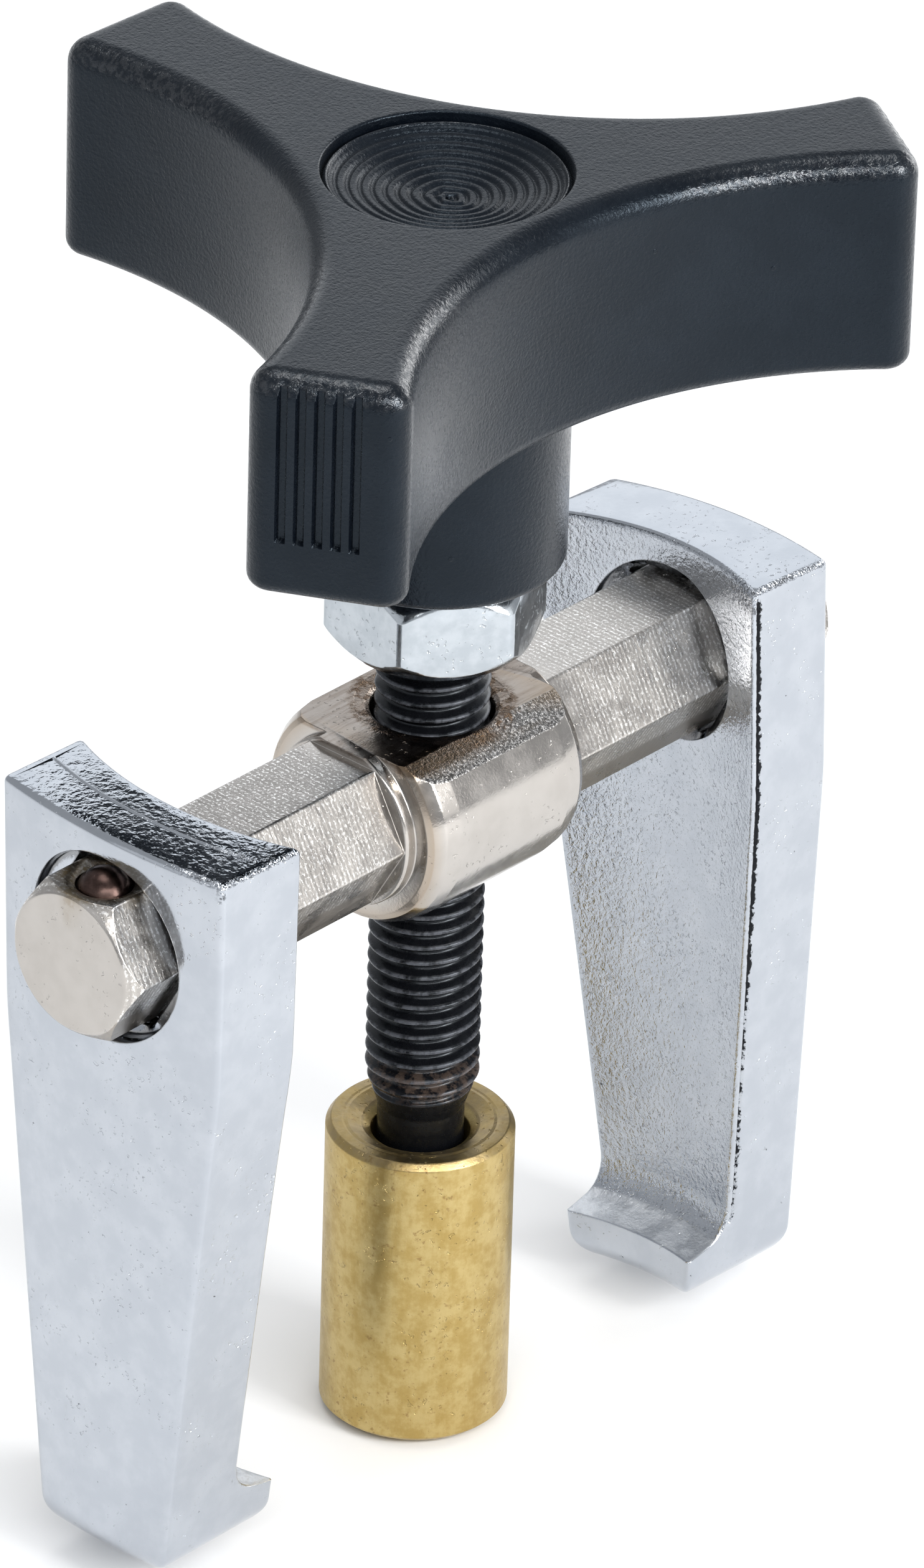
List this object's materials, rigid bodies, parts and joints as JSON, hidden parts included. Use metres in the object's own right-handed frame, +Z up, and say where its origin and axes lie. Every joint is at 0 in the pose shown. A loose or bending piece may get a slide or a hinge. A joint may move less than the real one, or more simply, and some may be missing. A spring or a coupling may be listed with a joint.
{
  "type": "two-jaw puller",
  "caption": "Small puller with a star knob on a forcing screw, a brass pressure sleeve, and hooked jaws that slide on a hexagonal cross-bar.",
  "frame": {"origin": "centre of the pressure sleeve's lower face", "axes": "+Z up the spindle towards the knob, +X along the cross-bar towards the right jaw"},
  "size_m": [0.0894, 0.0659, 0.1212],
  "materials": {
    "knob_plastic": "satin moulded plastic with a fine grain",
    "cap_plastic": "satin moulded plastic with concentric ridges",
    "zinc_plate": "bright bluish zinc plate",
    "black_oxide": "glossy black oxide",
    "brass": "turned brass, slightly tarnished",
    "plain_steel": "plain spring steel",
    "nickel_plate": "warm nickel plate over fine milling marks",
    "ball_steel": "dark polished steel",
    "jaw_chrome": "bright chrome over a drop-forged skin"
  },
  "bodies": {
    "bar": {"cross_bar": "nickel_plate", "detent_spring_left": "plain_steel", "detent_spring_right": "plain_steel"},
    "sleeve": {"pressure_sleeve": "brass"},
    "screw": {"spindle": "black_oxide", "snap_ring": "plain_steel", "lock_nut": "zinc_plate", "knob_body": "knob_plastic", "knob_cap": "cap_plastic", "knob_insert": "plain_steel"},
    "left_jaw": {"jaw_left": "jaw_chrome"},
    "right_jaw": {"jaw_right": "jaw_chrome"},
    "left_ball": {"detent_ball_left": "ball_steel"},
    "right_ball": {"detent_ball_right": "ball_steel"}
  },
  "joints": [
    {"name": "screw_feed", "type": "slide", "parent": "bar", "child": "sleeve", "axis": [0, 0, 1], "range_m": [-0.0062, 0.0237]},
    {"name": "spindle_spin", "type": "hinge", "parent": "sleeve", "child": "screw", "pos_m": [0, 0, 0.0302], "axis": [0, 0, 1], "range_deg": [-1485, 5680]},
    {"name": "jaw_left_slide", "type": "slide", "parent": "bar", "child": "left_jaw", "axis": [1, 0, 0], "range_m": [0, 0.018]},
    {"name": "jaw_right_slide", "type": "slide", "parent": "bar", "child": "right_jaw", "axis": [-1, 0, 0], "range_m": [-0.0018, 0.0148]},
    {"name": "ball_left_press", "type": "slide", "parent": "bar", "child": "left_ball", "axis": [0, 0, -1], "range_m": [0, 0.001], "stiffness_N_per_m": 500, "springref_m": -0.003, "deforming": ["detent_spring_left"]},
    {"name": "ball_right_press", "type": "slide", "parent": "bar", "child": "right_ball", "axis": [0, 0, -1], "range_m": [0, 0.001], "stiffness_N_per_m": 500, "springref_m": -0.003, "deforming": ["detent_spring_right"]}
  ],
  "couplings": [
    {"joint": "screw_feed", "follows": "spindle_spin", "m_per_rad": 0.00023873}
  ]
}
